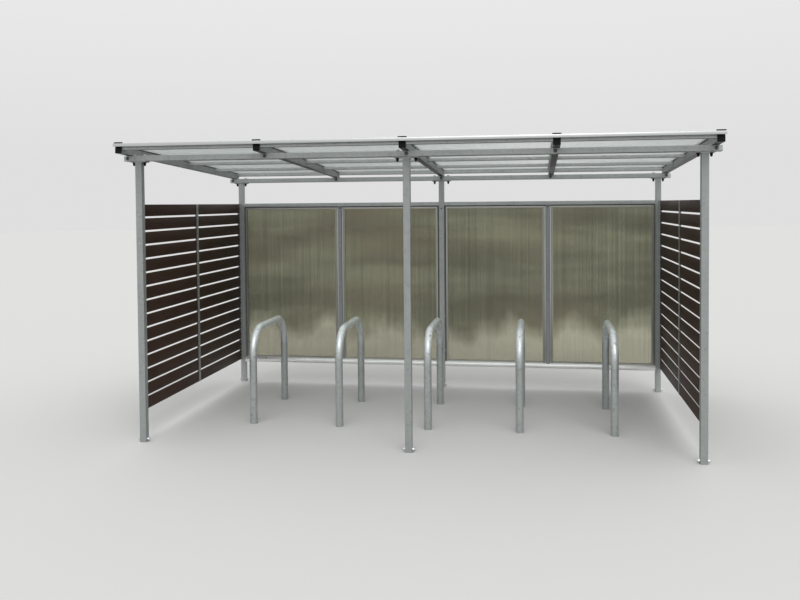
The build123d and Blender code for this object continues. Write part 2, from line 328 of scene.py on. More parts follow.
@dataclass(frozen=True)
class GalvanisedSteel(Finish):
    """Hot-dip zinc: pale grey with faint crystals, soft clouds, runs down the tube and dull marks."""

    zinc: Colour = (0.335, 0.358, 0.356)
    contrast: float = 0.10
    roughness: float = 0.48
    uneven: float = 0.07
    metal: float = 0.35
    gloss: float = 0.5
    crystals_per_metre: float = 70.0
    crystal_share: float = 0.4
    clouds: Noise = Noise((3.0, 3.0, 3.0), 5.0, 0.6)
    cloud_share: float = 0.6
    runs: Noise = Noise((40.0, 40.0, 2.5), 2.0)
    runs_share: float = 0.2
    blots: Noise = Noise((34.0, 34.0, 34.0), 4.0, 0.65)
    blot_range: Range = (0.55, 0.66)
    blot_shade: float = 0.3
    marks: float = 0.20
    grain: Noise = Noise((260.0, 260.0, 260.0), 2.0)
    grain_depth: float = 0.0003
    relief: float = 0.25
    # painted shade: faces that point down are darkened by this factor, over this range of their normal's Z
    underside: float = 1.0
    painted_shade_normal_range: Range = (-0.95, -0.6)
    # wear and a painted highlight: faces between these heights are lightened towards this factor
    wear_and_painted_highlight: float = 1.0
    wear_and_painted_highlight_share: float = 0.8
    wear_and_painted_highlight_heights: Range = (0.50, 0.72)

    def draw(self, graph: Graph) -> Socket:
        """Draw the zinc, with wear and a painted highlight on its tops, and painted shade on its undersides,
        where it has them.

        Args:
            graph: The graph to draw on.

        Returns:
            The shader.
        """
        crystals = graph.cells(self.crystals_per_metre)
        bloom = graph.joined("ADD", graph.spread(crystals, 0.0, self.crystal_share),
                             graph.share(self.clouds, self.cloud_share))
        bloom = graph.joined("ADD", graph.spread(bloom, 0.0, 1 - self.runs_share),
                             graph.share(self.runs, self.runs_share))
        dark, light = shade(self.zinc, 1 - self.contrast), shade(self.zinc, 1 + self.contrast)
        colour = graph.blend(bloom, dark, light)
        # Wear and a painted highlight: the zinc grows lighter with height.
        if self.wear_and_painted_highlight != 1.0:
            height = graph.upward(graph.places["Object"])
            wear_and_painted_highlight_mask = graph.spread(height, 0.0, self.wear_and_painted_highlight_share, *self.wear_and_painted_highlight_heights)
            colour = graph.blend(wear_and_painted_highlight_mask, colour, shade(self.zinc, self.wear_and_painted_highlight))
        blots = graph.spread(graph.noise(self.blots), 0.0, self.marks, *self.blot_range)
        colour = graph.blend(blots, colour, shade(self.zinc, self.blot_shade))
        # Painted shade: faces that point down are darkened.
        if self.underside != 1.0:
            facing = graph.upward(graph.add("ShaderNodeNewGeometry").outputs["True Normal"])
            below = graph.spread(facing, 1.0, 0.0, *self.painted_shade_normal_range)
            colour = graph.blend(below, colour, shade(self.zinc, self.underside))
        grain = graph.joined("ADD", graph.noise(self.grain), crystals)
        rough = graph.spread(bloom, self.roughness + self.uneven, self.roughness - self.uneven)
        return graph.shader("Principled", Metallic=self.metal, Specular_IOR_Level=self.gloss,
                            Base_Color=colour, Roughness=rough,
                            Normal=graph.bump(grain, self.grain_depth, self.relief))


@dataclass(frozen=True)
class DrawnAluminium(Finish):
    """Extruded aluminium with fine lines along its length."""

    colour: Colour = (0.59, 0.60, 0.605)
    shades: Range = (0.92, 1.06)
    metal: float = 0.95
    roughness: float = 0.32
    rougher: float = 0.06
    smoother: float = 0.05
    lines: Noise = Noise((2.0, 900.0, 900.0), 2.0)
    line_share: float = 0.6
    line_depth: float = 0.0001
    relief: float = 0.15
    clouds: Noise = Noise((5.0, 5.0, 5.0))
    cloud_share: float = 0.4

    def draw(self, graph: Graph) -> Socket:
        """Draw the metal and its lines.

        Args:
            graph: The graph to draw on.

        Returns:
            The shader.
        """
        lines = graph.noise(self.lines)
        bloom = graph.joined("ADD", graph.spread(lines, 0.0, self.line_share, *NOISE_MIDDLE),
                             graph.spread(graph.noise(self.clouds), 0.0, self.cloud_share))
        dark, light = (shade(self.colour, factor) for factor in self.shades)
        rough = graph.spread(bloom, self.roughness + self.rougher, self.roughness - self.smoother)
        return graph.shader("Principled", Metallic=self.metal, Base_Color=graph.blend(bloom, dark, light),
                            Roughness=rough, Normal=graph.bump(lines, self.line_depth, self.relief))


@dataclass(frozen=True)
class OpalRoofSheet(Finish):
    """Milky multiwall sheet: light comes through it, and its webs show as soft lines down the slope."""

    milk: Colour = (0.82, 0.84, 0.84)
    milk_shade: float = 0.86
    glow: Colour = (0.84, 0.855, 0.85)
    glow_shade: float = 0.84
    roughness: float = 0.22
    webs_per_metre: float = 90.0
    web_share: float = 0.25
    web_depth: float = 0.0004
    relief: float = 0.2
    streaks: Noise = Noise((60.0, 0.6, 0.6))
    streak_share: float = 0.45
    dust: Noise = Noise((2.5, 2.5, 2.5), 5.0, 0.6)
    dust_share: float = 0.3
    through: float = 0.88
    clear: float = 0.62

    def draw(self, graph: Graph) -> Socket:
        """Draw the glossy skin, the milky inside and the clear share.

        Args:
            graph: The graph to draw on.

        Returns:
            The shader.
        """
        webs = graph.waves(self.webs_per_metre)
        haze = graph.joined("ADD", graph.spread(webs, 0.0, self.web_share),
                            graph.share(self.streaks, self.streak_share),
                            graph.share(self.dust, self.dust_share))
        skin = graph.shader("Principled", Roughness=self.roughness,
                            Base_Color=graph.blend(haze, shade(self.milk, self.milk_shade), self.milk),
                            Normal=graph.bump(webs, self.web_depth, self.relief))
        inner = graph.shader("Translucent",
                             Color=graph.blend(haze, shade(self.glow, self.glow_shade), self.glow))
        seen = graph.shader("Transparent", Color=(*self.glow, 1.0))
        return graph.mixed(self.clear, graph.mixed(self.through, skin, inner), seen)


@dataclass(frozen=True)
class BronzeWallSheet(Finish):
    """Smoky clear sheet with upright flutes and uneven streaks, and painted light at its foot: paler and
    clearer there.
    """

    tint: Colour = (0.482, 0.488, 0.408)
    tint_shades: Range = (0.80, 1.18)
    skin: Colour = (0.21, 0.205, 0.17)
    skin_shades: Range = (0.7, 1.3)
    roughness: float = 0.28
    cover: Range = (0.24, 0.08)
    flutes_per_metre: float = 90.9
    flute_share: float = 0.20
    flute_depth: float = 0.0005
    relief: float = 0.3
    fine: Noise = Noise((75.0, 1.0, 0.4), 2.0, 0.6)
    fine_share: float = 0.34
    streaks: Noise = Noise((30.0, 1.0, 0.3), 4.0, 0.65)
    streak_share: float = 0.08
    smears: Noise = Noise((0.55, 1.0, 3.2), 3.0, 0.55)
    smear_shares: Range = (-0.15, 0.60)
    smear_range: Range = (0.33, 0.67)
    earthy: Colour = (0.505, 0.468, 0.392)
    earth: Noise = Noise((0.8, 1.0, 2.4), 2.0)
    earth_share: float = 0.6
    earth_range: Range = (0.45, 0.65)
    # painted light at the foot: paler film and clearer tint there, for the pale ground seen through the
    # sheet
    pale_foot_tint: Colour = (0.80, 0.79, 0.70)
    pale_foot_skin: Colour = (0.40, 0.385, 0.32)
    dust: float = 0.85
    pale_foot_heights: Range = (0.62, 0.82)
    pale_foot_edge: Noise = Noise((2.2, 1.0, 0.6), 4.0, 0.6)
    pale_foot_wobble: float = 0.30

    def draw(self, graph: Graph) -> Socket:
        """Draw the tinted clear sheet, and the film on it.

        Args:
            graph: The graph to draw on.

        Returns:
            The shader.
        """
        flutes = graph.waves(self.flutes_per_metre)
        lines = graph.joined("ADD", graph.spread(flutes, 0.0, self.flute_share),
                             graph.share(self.fine, self.fine_share),
                             graph.share(self.streaks, self.streak_share),
                             graph.spread(graph.noise(self.smears), *self.smear_shares, *self.smear_range))
        # Painted light: below a wavy line the sheet turns paler and clearer, for the pale ground seen
        # through it.
        edge = graph.joined("ADD", graph.upward(graph.places["Object"]),
                            graph.share(self.pale_foot_edge, self.pale_foot_wobble))
        dusty = graph.spread(edge, self.dust, 0.0, *self.pale_foot_heights)
        dark, light = (shade(self.skin, factor) for factor in self.skin_shades)
        skin = graph.blend(dusty, graph.blend(lines, dark, light), self.pale_foot_skin)
        film = graph.shader("Principled", Roughness=self.roughness, Base_Color=skin,
                            Normal=graph.bump(flutes, self.flute_depth, self.relief))
        dark, light = (shade(self.tint, factor) for factor in self.tint_shades)
        earth = graph.spread(graph.noise(self.earth), 0.0, self.earth_share, *self.earth_range)
        tint = graph.blend(earth, graph.blend(lines, dark, light), self.earthy)
        seen = graph.shader("Transparent", Color=graph.blend(dusty, tint, self.pale_foot_tint))
        return graph.mixed(graph.spread(lines, *self.cover), seen, film)


@dataclass(frozen=True)
class InnerWeb(Finish):
    """The thin walls inside a sheet, which catch the light between its skins."""

    colour: Colour
    dark: float = 0.9
    haze: Noise = Noise((20.0, 20.0, 4.0), 2.0)
    roughness: float = 0.3
    through: float = 0.6
    clear: float = 0.5

    def draw(self, graph: Graph) -> Socket:
        """Draw the web, half clear.

        Args:
            graph: The graph to draw on.

        Returns:
            The shader.
        """
        colour = graph.blend(graph.noise(self.haze), shade(self.colour, self.dark), self.colour)
        body = graph.shader("Principled", Roughness=self.roughness, Base_Color=colour)
        inner = graph.shader("Translucent", Color=(*self.colour, 1.0))
        seen = graph.shader("Transparent", Color=(1.0, 1.0, 1.0, 1.0))
        return graph.mixed(self.clear, graph.mixed(self.through, body, inner), seen)


@dataclass(frozen=True)
class BrownBoard(Finish):
    """Dark chocolate board with fine lines along it and a soft shine."""

    brown: Colour = (0.042, 0.021, 0.014)
    shades: Range = (0.75, 1.35)
    roughness: float = 0.50
    rougher: float = 0.1
    smoother: float = 0.06
    gloss: float = 0.25
    grain: Noise = Noise((300.0, 3.0, 300.0), 4.0, 0.6)
    grain_share: float = 0.5
    grain_depth: float = 0.0003
    relief: float = 0.3
    planks: Noise = Noise((1.0, 0.8, 9.6), 1.0)
    plank_share: float = 0.5

    def draw(self, graph: Graph) -> Socket:
        """Draw the board, each a little lighter or darker than the next.

        Args:
            graph: The graph to draw on.

        Returns:
            The shader.
        """
        grain = graph.noise(self.grain)
        wood = graph.joined("ADD", graph.spread(grain, 0.0, self.grain_share, *NOISE_MIDDLE),
                            graph.spread(graph.noise(self.planks), 0.0, self.plank_share))
        dark, light = (shade(self.brown, factor) for factor in self.shades)
        rough = graph.spread(grain, self.roughness + self.rougher, self.roughness - self.smoother)
        return graph.shader("Principled", Specular_IOR_Level=self.gloss, Roughness=rough,
                            Base_Color=graph.blend(wood, dark, light),
                            Normal=graph.bump(grain, self.grain_depth, self.relief))


@dataclass(frozen=True)
class DarkMoulding(Finish):
    """Black plastic or rubber with a fine grain and a little dust."""

    black: Colour = (0.008, 0.008, 0.009)
    dusty: float = 1.7
    dust: Noise = Noise((12.0, 12.0, 12.0))
    roughness: float = 0.58
    smoother: float = 0.05
    rougher: float = 0.1
    gloss: float = 0.1
    grain: Noise = Noise((500.0, 500.0, 500.0), 2.0)
    grain_depth: float = 0.0002
    relief: float = 0.2

    def draw(self, graph: Graph) -> Socket:
        """Draw the moulding.

        Args:
            graph: The graph to draw on.

        Returns:
            The shader.
        """
        grain = graph.noise(self.grain)
        colour = graph.blend(graph.noise(self.dust), self.black, shade(self.black, self.dusty))
        rough = graph.spread(grain, self.roughness - self.smoother, self.roughness + self.rougher)
        return graph.shader("Principled", Specular_IOR_Level=self.gloss, Base_Color=colour,
                            Roughness=rough, Normal=graph.bump(grain, self.grain_depth, self.relief))


class Look(Enum):
    """Every finish of the shelter."""

    STEEL = GalvanisedSteel("zinc_frame", Slot.STEEL)
    # the rafters carry painted shade on their undersides
    RAFTERS = GalvanisedSteel("zinc_rafters", Slot.STEEL, zinc=(0.36, 0.38, 0.38), metal=0.1, gloss=0.2,
                              underside=0.22)
    BACK_STEEL = GalvanisedSteel("zinc_back_wall", Slot.STEEL, zinc=(0.44, 0.465, 0.455))
    # the beams carry painted shade on their undersides
    BEAMS = GalvanisedSteel("zinc_beams", Slot.STEEL, zinc=(0.50, 0.525, 0.52), underside=0.5)
    # the purlins carry painted shade on their undersides
    PURLINS = GalvanisedSteel("zinc_purlins", Slot.STEEL, zinc=(0.54, 0.56, 0.56), gloss=0.3,
                              underside=0.3)
    SILL = GalvanisedSteel("zinc_sill", Slot.STEEL, zinc=(0.95, 0.96, 0.94), contrast=0.05,
                           roughness=0.32, metal=0.75, marks=0.06, relief=0.03)
    # painted shade: these bolts and domes are made dark all over for the shade they sit in
    DULL_BOLTS = GalvanisedSteel("dull_bolts", Slot.STEEL, zinc=(0.12, 0.13, 0.14))
    # the stands' tops carry wear and a painted highlight
    STANDS = GalvanisedSteel("zinc_stands", Slot.STANDS, zinc=(0.41, 0.44, 0.435), contrast=0.15,
                             roughness=0.38, metal=0.45, crystals_per_metre=60.0, marks=0.40, wear_and_painted_highlight=2.3,
                             blots=Noise((38.0, 38.0, 38.0), 4.0, 0.65))
    FASTENING = GalvanisedSteel("zinc_fastenings", Slot.STEEL, zinc=(0.58, 0.59, 0.58), roughness=0.34,
                                metal=0.6)
    BRIGHT = DrawnAluminium("bright_trim", Slot.BRIGHT)
    FRAMES = DrawnAluminium("sheet_frames", Slot.FRAMES, colour=(0.36, 0.35, 0.31), roughness=0.45,
                            lines=Noise((300.0, 300.0, 3.0), 2.0))
    STRIPS = DrawnAluminium("sheet_strips", Slot.FRAMES, colour=(0.52, 0.53, 0.51), roughness=0.4,
                            lines=Noise((300.0, 300.0, 3.0), 2.0))
    ROOF = OpalRoofSheet("opal_sheet", Slot.ROOF)
    ROOF_WEBS = InnerWeb("opal_webs", Slot.ROOF, (0.84, 0.86, 0.86))
    WALL = BronzeWallSheet("bronze_sheet", Slot.WALL)
    WALL_WEBS = InnerWeb("bronze_webs", Slot.WALL, (0.16, 0.15, 0.125))
    BOARDS = BrownBoard("brown_boards", Slot.BOARDS)
    CAPS = DarkMoulding("black_caps", Slot.CAPS)
    RUBBER = DarkMoulding("rubber_strips", Slot.RUBBER, black=(0.06, 0.06, 0.055), roughness=0.65)
    GASKETS = DarkMoulding("grey_gaskets", Slot.RUBBER, black=(0.13, 0.13, 0.12), roughness=0.65)


def bevel(mesh: BMesh, edges: Edges, width: float, segments: int = 2) -> None:
    """Round edges, and shade the rounds as smooth.

    Args:
        mesh: The mesh that holds them.
        edges: The edges.
        width: How far the round reaches, in metres.
        segments: Steps across the round.
    """
    rounds = bmesh.ops.bevel(mesh, geom=edges, offset=width, offset_type="OFFSET", segments=segments,
                             profile=0.5, affect="EDGES", material=-1)
    for face in rounds["faces"]:
        face.smooth = True


def block(low: Point, high: Point, round_edges: float = 0.0) -> BMesh:
    """A box between two corners.

    Args:
        low: The lowest corner.
        high: The highest corner.
        round_edges: The width of its rounded edges, if any.

    Returns:
        A new bmesh.
    """
    mesh = bmesh.new()
    bmesh.ops.create_cube(mesh, size=1.0)
    size = Vector(high) - Vector(low)
    bmesh.ops.scale(mesh, vec=size, verts=mesh.verts)
    bmesh.ops.translate(mesh, vec=Vector(low) + size / 2, verts=mesh.verts)
    if round_edges:
        bevel(mesh, mesh.edges[:], round_edges)
    return mesh


def turned_drum(drum: Drum) -> BMesh:
    """A drum that stands on the XY plane.

    Args:
        drum: Its sizes.

    Returns:
        A new bmesh.
    """
    mesh = bmesh.new()
    top = drum.radius if drum.top_radius is None else drum.top_radius
    bmesh.ops.create_cone(mesh, cap_ends=True, cap_tris=False, segments=drum.sides,
                          radius1=drum.radius, radius2=top, depth=drum.height)
    bmesh.ops.translate(mesh, vec=(0, 0, drum.height / 2), verts=mesh.verts)
    if drum.rim:
        rim = [edge for edge in mesh.edges if all(vert.co.z > drum.height - HAIR for vert in edge.verts)]
        bevel(mesh, rim, drum.rim)
    return mesh


def put(whole: BMesh, part: BMesh, place: Matrix | None = None) -> None:
    """Add a bmesh to another, and free it.

    Args:
        whole: The bmesh that it is added to.
        part: The bmesh that is added.
        place: Where it goes, if it isn't in place yet.
    """
    if place is not None:
        bmesh.ops.transform(part, matrix=place, verts=part.verts)
    mesh = bpy.data.meshes.new("part")
    part.to_mesh(mesh)
    part.free()
    whole.from_mesh(mesh)
    bpy.data.meshes.remove(mesh)


WASHER = Drum(0.013, 0.0025, 24, rim=0.0004)


class Fastening(Enum):
    """The bolts, nuts, caps and screws: drums from the foot up, which point along +Z."""

    NUT = (WASHER, Drum(0.011, 0.010, 6, rim=0.0010), Drum(0.006, 0.008, 16, rim=0.0012))
    BOLT_HEAD = (WASHER, Drum(0.011, 0.008, 6, rim=0.0010))
    NUT_CAP = (Drum(0.013, 0.003, 24, rim=0.0008), Drum(0.011, 0.023, 24, 0.007, 0.0025))
    DOME = (Drum(0.013, 0.0025, 24, rim=0.0006), Drum(0.0105, 0.007, 20, 0.007875, 0.0035))
    ROOF_SCREW = (Drum(0.009, 0.0012, 16), Drum(0.0055, 0.0035, 6))
    SMALL_BOLT = (Drum(0.008, 0.0015, 20), Drum(0.006, 0.005, 6, rim=0.0008))
    BOLT_RING = (Drum(0.009, 0.0012, 20),)
    SCREW = (Drum(0.0045, 0.0022, 16, 0.0036, 0.0007),)
    RIVET = (Drum(0.0038, 0.0018, 12, 0.00266, 0.0006),)
    VENT_PLUG = (Drum(0.006, 0.0014, 20, rim=0.0004),)

    @cache
    def pattern(self) -> bpy.types.Mesh:
        """Stack the drums once, each on the one before.

        Returns:
            One mesh, for stamping.
        """
        whole = bmesh.new()
        base = 0.0
        for drum in self.value:
            put(whole, turned_drum(drum), Matrix.Translation((0, 0, base)))
            base += drum.height
        mesh = bpy.data.meshes.new("stack")
        whole.to_mesh(mesh)
        whole.free()
        return mesh


def stamp(whole: BMesh, kind: Fastening, places: Iterable[Matrix]) -> None:
    """Add copies of a fastening to a bmesh.

    Args:
        whole: The bmesh.
        kind: The fastening.
        places: Where each copy goes.
    """
    for place in places:
        part = bmesh.new()
        part.from_mesh(kind.pattern())
        put(whole, part, place)


def shown(name: str, mesh: BMesh, look: Look, stands_for: tuple[str, ...] = (), slot: Slot | None = None,
          crease: float = CREASE, all_smooth: bool = True) -> None:
    """Make a piece of the shelter from a bmesh, which rides on the body.

    Args:
        name: The piece's name.
        mesh: Its shape, in place.
        look: Its finish.
        stands_for: CAD nodes that it is shown in place of.
        slot: The record's slot, where that isn't the finish's own; not used.
        crease: The angle in degrees past which an edge stays sharp.
        all_smooth: Whether every face is shaded smooth, and not only the rounded edges.
    """
    data = bpy.data.meshes.new(name)
    if all_smooth:
        for face in mesh.faces:
            face.smooth = True
    mesh.to_mesh(data)
    mesh.free()
    data.set_sharp_from_angle(angle=math.radians(crease))
    data.materials.append(look.value.material())
    piece = bpy.data.objects.new(name, data)
    bpy.context.scene.collection.objects.link(piece)
    slot = slot or look.value.slot
    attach(piece, "root")
    if stands_for:
        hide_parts(*stands_for)
    log.info("made %s with %d faces", name, len(data.polygons))


def scattered(name: str, kind: Fastening, places: Iterable[Matrix], look: Look,
              slot: Slot | None = None) -> None:
    """Show copies of one fastening as one piece.

    Args:
        name: The piece's name.
        kind: The fastening.
        places: Where each copy goes.
        look: Its finish.
        slot: The record's slot, where that isn't the finish's own.
    """
    mesh = bmesh.new()
    stamp(mesh, kind, places)
    shown(name, mesh, look, slot=slot)


def softened(node: str, width: float, shortest: float) -> BMesh:
    """A copy of a CAD node with rounded edges.

    Args:
        node: The node's name.
        width: How far each round reaches, in metres.
        shortest: Only edges longer than this are rounded.

    Returns:
        A new bmesh.
    """
    mesh = bmesh.new()
    mesh.from_mesh(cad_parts[node].data)
    for face in mesh.faces:
        face.smooth = False
    bmesh.ops.remove_doubles(mesh, verts=mesh.verts, dist=MERGE)
    bmesh.ops.dissolve_limit(mesh, angle_limit=math.radians(FLAT), verts=mesh.verts, edges=mesh.edges)
    edges = [edge for edge in mesh.edges if len(edge.link_faces) == 2
             and edge.calc_face_angle(0.0) > math.radians(CREASE) and edge.calc_length() > shortest]
    bevel(mesh, edges, width)
    return mesh


def soften(nodes: Iterable[str], width: float, look: Look, shortest: float = 0.0) -> None:
    """Show CAD nodes with rounded edges.

    Args:
        nodes: Their names.
        width: How far each round reaches, in metres.
        look: The finish.
        shortest: Only edges longer than this are rounded.
    """
    for node in nodes:
        shown(f"{node}_shown", softened(node, width, shortest), look, (node,), all_smooth=False)


def dress(prefixes: tuple[str, ...], look: Look) -> None:
    """Give CAD nodes a finish.

    Args:
        prefixes: The starts of the nodes' names.
        look: The finish.
    """
    for name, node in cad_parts.items():
        if name.startswith(prefixes):
            node.data.materials.clear()
            node.data.materials.append(look.value.material())
            log.info("dressed %s with %s", name, look.value.name)


def middle(node: str) -> Point:
    """The middle of a CAD node's box."""
    return tuple((low + high) / 2 for low, high in zip(*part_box(node)))


def even_lines(low: float, high: float, pitch: float) -> list[float]:
    """Lines at an even pitch, as many as fit between two edges, set in the middle.

    Args:
        low: The lower edge.
        high: The higher edge.
        pitch: From line to line.

    Returns:
        Where each line lies.
    """
    count = int((high - low) / pitch)
    start = (low + high) / 2 - (count - 1) * pitch / 2
    return [start + i * pitch for i in range(count)]


@dataclass
class RoofPlane:
    """The falling plane under the beams, on which the whole roof is laid."""

    front_level: float = 2.090
    back_level: float = 1.980
    row_gap: float = 2.200
    front_row: float = field(init=False)
    pitch: float = field(init=False)

    def __post_init__(self) -> None:
        """Find the front row of posts, and work out the slope."""
        self.front_row = middle("front_post_centre")[1]
        self.pitch = math.atan((self.front_level - self.back_level) / self.row_gap)

    def matrix(self) -> Matrix:
        """What lays a shape, drawn with Z square to the roof, on the plane."""
        lean = Matrix.Rotation(-self.pitch, 4, "X")
        return Matrix.Translation((0, self.front_row, self.front_level)) @ lean

    def rows(self) -> tuple[float, float]:
        """Where the two beams lie, measured down the slope."""
        return 0.0, self.row_gap / math.cos(self.pitch)


@dataclass
class SteelFrame:
    """The posts, beams, rafters and purlins, with their bolts and caps."""

    plane: RoofPlane
    post_side: float = 0.050
    foot_bolt_height: float = 0.021
    plate_thickness: float = 0.008
    plate_edge: float = 0.0012
    beam_depth: float = 0.060
    beam_height: float = 0.040
    purlin_edge: float = 0.0015
    middle_bolt_reach: float = 0.065
    end_bolt_reach: float = 0.042
    weld: float = 0.003
    weld_round: float = 0.8
    weld_steps: int = 3
    beam_bolt_lines: tuple[float, ...] = (-2.082, -1.028, 0.002, 1.025, 2.070)
    front_left_screws: tuple[float, ...] = (1.697, 1.483)
    back_right_screws: tuple[float, ...] = (1.730, 1.358, 0.983)
    back_centre_bolts: tuple[float, ...] = (0.682, 0.349)
    back_centre_bolt_depth: float = 0.009
    back_centre_head: float = 1.712

    def posts(self) -> list[Vector]:
        """The middle of each post's foot, by the order of the posts' names."""
        names = sorted(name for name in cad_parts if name.startswith(("front_post", "back_post")))
        return [Vector((*middle(name)[:2], 0.0)) for name in names]

    def heads(self) -> list[tuple[float, float]]:
        """The head of each post: its X, and its Y down the slope."""
        half = max(foot.x for foot in self.posts())
        return [(x, y) for x in (-half, 0.0, half) for y in self.plane.rows()]

    def foot_bolts(self) -> None:
        """A cross bolt through the foot of each post, with a nut on both sides."""
        places = [way.at(foot + Vector((side * self.post_side / 2, 0, self.foot_bolt_height)))
                  for foot in self.posts() for way, side in ((Axis.LEFT, -1), (Axis.RIGHT, 1))]
        scattered("post_foot_bolts", Fastening.NUT, places, Look.FASTENING)

    def plate_bolts(self) -> None:
        """Bolts through the head plates: capped nuts below, heads on the beams above."""
        lay = self.plane.matrix()
        spots = []
        for x, y in self.heads():
            reach = self.end_bolt_reach if abs(x) > 0 else self.middle_bolt_reach
            spots += [(x - reach, y), (x + reach, y)]
        scattered("head_plate_nut_caps", Fastening.NUT_CAP,
                  [lay @ Axis.DOWN.at((x, y, -self.plate_thickness)) for x, y in spots], Look.CAPS)
        scattered("beam_bolt_heads", Fastening.BOLT_HEAD,
                  [lay @ Axis.UP.at((x, y, self.beam_height)) for x, y in spots], Look.FASTENING)

    def beam_bolts(self) -> None:
        """Domed bolt heads on the faces of the beams, one below each rafter."""
        lay = self.plane.matrix()
        places = [lay @ Axis.FRONT.at((x, y - self.beam_depth / 2, self.beam_height / 2))
                  for y in self.plane.rows() for x in self.beam_bolt_lines]
        scattered("beam_face_bolts", Fastening.DOME, places, Look.DULL_BOLTS)

    def welds(self) -> None:
        """A bead of weld round the top of each post, under its head plate."""
        mesh = bmesh.new()
        reach = self.post_side / 2 + self.weld
        for x, y in self.heads():
            bead = block((x - reach, y - reach, -self.plate_thickness - self.weld),
                         (x + reach, y + reach, -self.plate_thickness))
            rim = [edge for edge in bead.edges
                   if all(vert.co.z < -self.plate_thickness - HAIR for vert in edge.verts)]
            bevel(bead, rim, self.weld * self.weld_round, self.weld_steps)
            put(mesh, bead, self.plane.matrix())
        shown("post_head_welds", mesh, Look.FASTENING)

    def post_screws(self) -> None:
        """The screws and small bolts on the faces of the posts."""
        mesh = bmesh.new()
        for node, heights in (("front_post_left", self.front_left_screws),
                              ("back_post_right", self.back_right_screws)):
            x, front = middle(node)[0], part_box(node)[0][1]
            stamp(mesh, Fastening.SCREW, [Axis.FRONT.at((x, front, z)) for z in heights])
        low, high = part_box("back_post_centre")
        side_spots = [(high[0], low[1] + self.back_centre_bolt_depth, z) for z in self.back_centre_bolts]
        stamp(mesh, Fastening.SMALL_BOLT, [Axis.RIGHT.at(spot) for spot in side_spots])
        shown("post_screws", mesh, Look.FASTENING)
        spot = (middle("back_post_centre")[0], low[1], self.back_centre_head)
        scattered("back_post_bolt", Fastening.SMALL_BOLT, [Axis.FRONT.at(spot)], Look.DULL_BOLTS)

    def build(self) -> None:
        """Dress the steel and add its bolts and caps."""
        dress(("front_post",), Look.STEEL)
        dress(("back_post",), Look.BACK_STEEL)
        dress(("front_beam", "back_beam"), Look.BEAMS)
        dress(tuple(f"rafter_{number}" for number in RAFTERS), Look.RAFTERS)
        soften(("post_head_plates",), self.plate_edge, Look.STEEL)
        soften([f"purlin_row_{row}" for row in PURLIN_ROWS], self.purlin_edge, Look.PURLINS, LONG_EDGE)
        self.foot_bolts()
        self.plate_bolts()
        self.beam_bolts()
        self.welds()
        self.post_screws()


@dataclass
class Roof:
    """The opal sheets with their inner webs, the bars, trims, caps and seals."""

    plane: RoofPlane
    sheet_base: float = 0.096
    sheet_thickness: float = 0.010
    sheet_front: float = -0.221
    skin: float = 0.0008
    web_pitch: float = 0.011
    web_thickness: float = 0.0006
    web_end_gap: float = 0.0082
    bar_front: float = -0.196
    bar_top: float = 0.119
    bar_edge: float = 0.0010
    trim_top: float = 0.108
    trim_edge: float = 0.0005
    cap_edge: float = 0.0008
    screw_rows: int = 8
    first_screw: float = 0.150
    trim_screw_back: float = 0.014
    trim_screw_shares: tuple[float, float] = (0.25, 0.75)

    def webs(self, number: int) -> None:
        """The thin walls inside one sheet, from its front edge to its rear edge.

        Args:
            number: The sheet's number.
        """
        low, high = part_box(f"roof_sheet_{number}")
        length = (high[1] - low[1]) / math.cos(self.plane.pitch)
        front = self.sheet_front + self.skin
        half = self.web_thickness / 2
        mesh = bmesh.new()
        for x in even_lines(low[0], high[0], self.web_pitch):
            put(mesh, block((x - half, front, self.sheet_base + self.skin),
                            (x + half, front + length - self.web_end_gap,
                             self.sheet_base + self.sheet_thickness - self.skin)))
        bmesh.ops.transform(mesh, matrix=self.plane.matrix(), verts=mesh.verts)
        shown(f"roof_sheet_{number}_webs", mesh, Look.ROOF_WEBS, all_smooth=False)

    def screws(self) -> None:
        """Screws down every cover bar, and two in each bay of the front and rear trims."""
        bars = [middle(f"rafter_{number}")[0] for number in RAFTERS]
        rear = self.plane.rows()[1]
        first = self.bar_front + self.first_screw
        step = (rear - self.first_screw / 2 - first) / (self.screw_rows - 1)
        spots = [(x, first + row * step, self.bar_top) for x in bars for row in range(self.screw_rows)]
        trims = (self.sheet_front + self.trim_screw_back, rear + self.first_screw / 4)
        spots += [(left + (right - left) * share, y, self.trim_top)
                  for left, right in zip(bars, bars[1:]) for share in self.trim_screw_shares for y in trims]
        lay = self.plane.matrix()
        scattered("roof_screws", Fastening.ROOF_SCREW, [lay @ Axis.UP.at(spot) for spot in spots],
                  Look.FASTENING, Slot.BRIGHT)

    def build(self) -> None:
        """Dress the roof's solids, and add the webs and screws."""
        dress(("roof_sheet",), Look.ROOF)
        soften(("roof_cover_bars",), self.bar_edge, Look.BRIGHT)
        soften(("roof_front_trim", "roof_rear_trim"), self.trim_edge, Look.BRIGHT)
        soften(("roof_bar_caps", "rafter_end_caps"), self.cap_edge, Look.CAPS)
        dress(("rafter_seals",), Look.RUBBER)
        self.screws()
        for number in SHEETS:
            self.webs(number)


